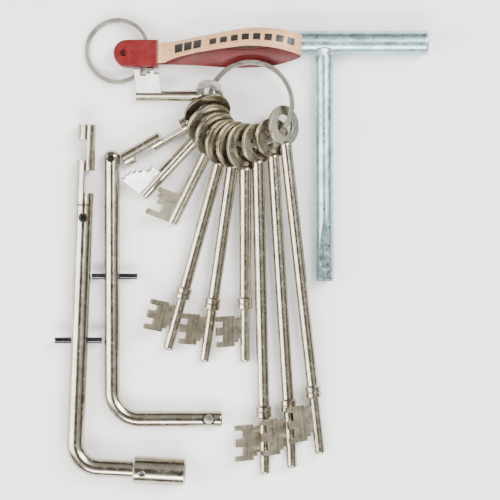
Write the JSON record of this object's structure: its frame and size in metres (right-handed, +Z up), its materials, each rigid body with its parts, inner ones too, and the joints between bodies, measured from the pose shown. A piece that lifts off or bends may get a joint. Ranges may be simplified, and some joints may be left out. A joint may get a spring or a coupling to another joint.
{
  "type": "fire brigade key set",
  "caption": "Fire brigade access keys: bitted and notched keys on a split ring with a strap fob, cranked bar keys with cross pins and a welded tee key.",
  "frame": {"origin": "on the resting surface, under the middle of the laid-out set's footprint", "axes": "+Z up from the surface, +Y from the key tips towards the tee key's crossbar, +X towards the tee key"},
  "size_m": [0.1854, 0.2329, 0.0243],
  "materials": {
    "spring_steel": "polished nickel-plated spring wire",
    "key_nickel": "bright nickel plate, lightly scuffed",
    "pale_nickel": "satin nickel plate",
    "bar_nickel": "nickel-plated drawn bar",
    "zinc_plate": "blue-bright zinc plate, scuffed",
    "black_oxide": "black oxide steel",
    "red_rubber": "glossy moulded red rubber",
    "red_paint": "red lacquered rivet",
    "strap_tan": "smooth tan strap face with fine lengthwise grain",
    "strap_red": "dark red strap lining"
  },
  "bodies": {
    "ring": {"main_split_ring": "spring_steel"},
    "key_1": {"key_1_bit": "pale_nickel", "key_1_bow": "pale_nickel", "key_1_shank": "key_nickel"},
    "key_2": {"key_2_bow": "key_nickel", "key_2_notched_bar": "key_nickel"},
    "key_3": {"key_3_bit": "pale_nickel", "key_3_bow": "key_nickel", "key_3_shank": "key_nickel"},
    "key_4": {"key_4_bit": "key_nickel", "key_4_bow": "key_nickel", "key_4_shank": "key_nickel"},
    "key_5": {"key_5_bit": "key_nickel", "key_5_bow": "key_nickel", "key_5_shank": "key_nickel"},
    "key_6": {"key_6_bit": "key_nickel", "key_6_bow": "key_nickel", "key_6_shank": "key_nickel"},
    "key_7": {"key_7_bit": "key_nickel", "key_7_bow": "key_nickel", "key_7_shank": "key_nickel"},
    "key_8": {"key_8_bit": "key_nickel", "key_8_bow": "key_nickel", "key_8_shank": "key_nickel"},
    "key_9": {"key_9_bit": "key_nickel", "key_9_bow": "key_nickel", "key_9_shank": "key_nickel"},
    "key_10": {"key_10_bit": "key_nickel", "key_10_bow": "key_nickel", "key_10_shank": "key_nickel"},
    "fob": {"fob_end_sleeve": "red_rubber", "fob_rivet": "red_paint", "fob_strap_outer": "strap_tan", "fob_strap_inner": "strap_red"},
    "fob_ring": {"fob_split_ring": "spring_steel"},
    "cranked_key_a": {"cranked_key_a_bar": "bar_nickel", "cranked_key_a_drive_sleeve": "bar_nickel", "cranked_key_a_notched_tip": "bar_nickel", "cranked_key_a_roll_pin": "black_oxide", "cranked_key_a_side_screw": "black_oxide", "cranked_key_a_sleeve_screw": "black_oxide", "cranked_key_a_top_screw": "black_oxide"},
    "cranked_key_b": {"cranked_key_b_bar": "bar_nickel", "cranked_key_b_roll_pin": "black_oxide", "cranked_key_b_set_screw": "black_oxide"},
    "tee_key": {"tee_key_crossbar": "zinc_plate", "tee_key_stem": "zinc_plate", "tee_key_weld_bead": "zinc_plate"}
  },
  "joints": [
    {"name": "key_10_lift", "type": "hinge", "parent": "ring", "child": "key_10", "pos_m": [0.02129, 0.0613, 0.01133], "axis": [-0.9937, -0.1118, 0], "range_deg": [0, 8]},
    {"name": "key_9_lift", "type": "hinge", "parent": "ring", "child": "key_9", "pos_m": [0.01483, 0.05538, 0.01074], "axis": [-0.9981, -0.0611, 0], "range_deg": [0, 8]},
    {"name": "key_8_lift", "type": "hinge", "parent": "ring", "child": "key_8", "pos_m": [0.00911, 0.05312, 0.01051], "axis": [-0.9997, -0.0228, 0], "range_deg": [0, 8]},
    {"name": "key_7_lift", "type": "hinge", "parent": "ring", "child": "key_7", "pos_m": [0.00343, 0.05263, 0.01046], "axis": [-1, 0.0014, 0], "range_deg": [0, 8]},
    {"name": "key_6_lift", "type": "hinge", "parent": "ring", "child": "key_6", "pos_m": [-0.00166, 0.05355, 0.01055], "axis": [-0.9897, 0.143, 0], "range_deg": [0, 8]},
    {"name": "key_5_lift", "type": "hinge", "parent": "ring", "child": "key_5", "pos_m": [-0.00613, 0.05556, 0.01076], "axis": [-0.9635, 0.2677, 0], "range_deg": [0, 8]},
    {"name": "key_4_lift", "type": "hinge", "parent": "ring", "child": "key_4", "pos_m": [-0.01103, 0.05968, 0.01117], "axis": [-0.8946, 0.4468, 0], "range_deg": [0, 8]},
    {"name": "key_3_lift", "type": "hinge", "parent": "ring", "child": "key_3", "pos_m": [-0.01434, 0.06495, 0.01169], "axis": [-0.7281, 0.6855, 0], "range_deg": [0, 8]},
    {"name": "key_2_lift", "type": "hinge", "parent": "ring", "child": "key_2", "pos_m": [-0.01586, 0.0706, 0.01226], "axis": [-0.4887, 0.8725, 0], "range_deg": [0, 8]},
    {"name": "key_1_lift", "type": "hinge", "parent": "ring", "child": "key_1", "pos_m": [-0.01521, 0.07862, 0.01306], "axis": [0.0187, 0.9998, 0], "range_deg": [0, 8]},
    {"name": "fob_away", "type": "slide", "parent": "ring", "child": "fob", "axis": [-0.9999, 0.015, 0], "range_m": [0, 0.12]},
    {"name": "fob_ring_swing", "type": "hinge", "parent": "fob", "child": "fob_ring", "pos_m": [-0.04705, 0.0984, 0.0046], "axis": [0, 1, 0], "range_deg": [0, 12]},
    {"name": "tee_key_away", "type": "slide", "parent": "ring", "child": "tee_key", "axis": [1, 0, 0], "range_m": [0, 0.11]},
    {"name": "cranked_key_a_pick_up", "type": "slide", "parent": "ring", "child": "cranked_key_a", "axis": [0, 0, 1], "range_m": [0, 0.12]},
    {"name": "cranked_key_b_pick_up", "type": "slide", "parent": "ring", "child": "cranked_key_b", "axis": [0, 0, 1], "range_m": [0, 0.12]}
  ],
  "couplings": [
    {"joint": "key_9_lift", "follows": "key_10_lift", "ratio": 1},
    {"joint": "key_8_lift", "follows": "key_10_lift", "ratio": 1},
    {"joint": "key_7_lift", "follows": "key_10_lift", "ratio": 1},
    {"joint": "key_6_lift", "follows": "key_10_lift", "ratio": 1},
    {"joint": "key_5_lift", "follows": "key_10_lift", "ratio": 1},
    {"joint": "key_4_lift", "follows": "key_10_lift", "ratio": 1},
    {"joint": "key_3_lift", "follows": "key_10_lift", "ratio": 1},
    {"joint": "key_2_lift", "follows": "key_10_lift", "ratio": 1},
    {"joint": "key_1_lift", "follows": "key_10_lift", "ratio": 1}
  ]
}
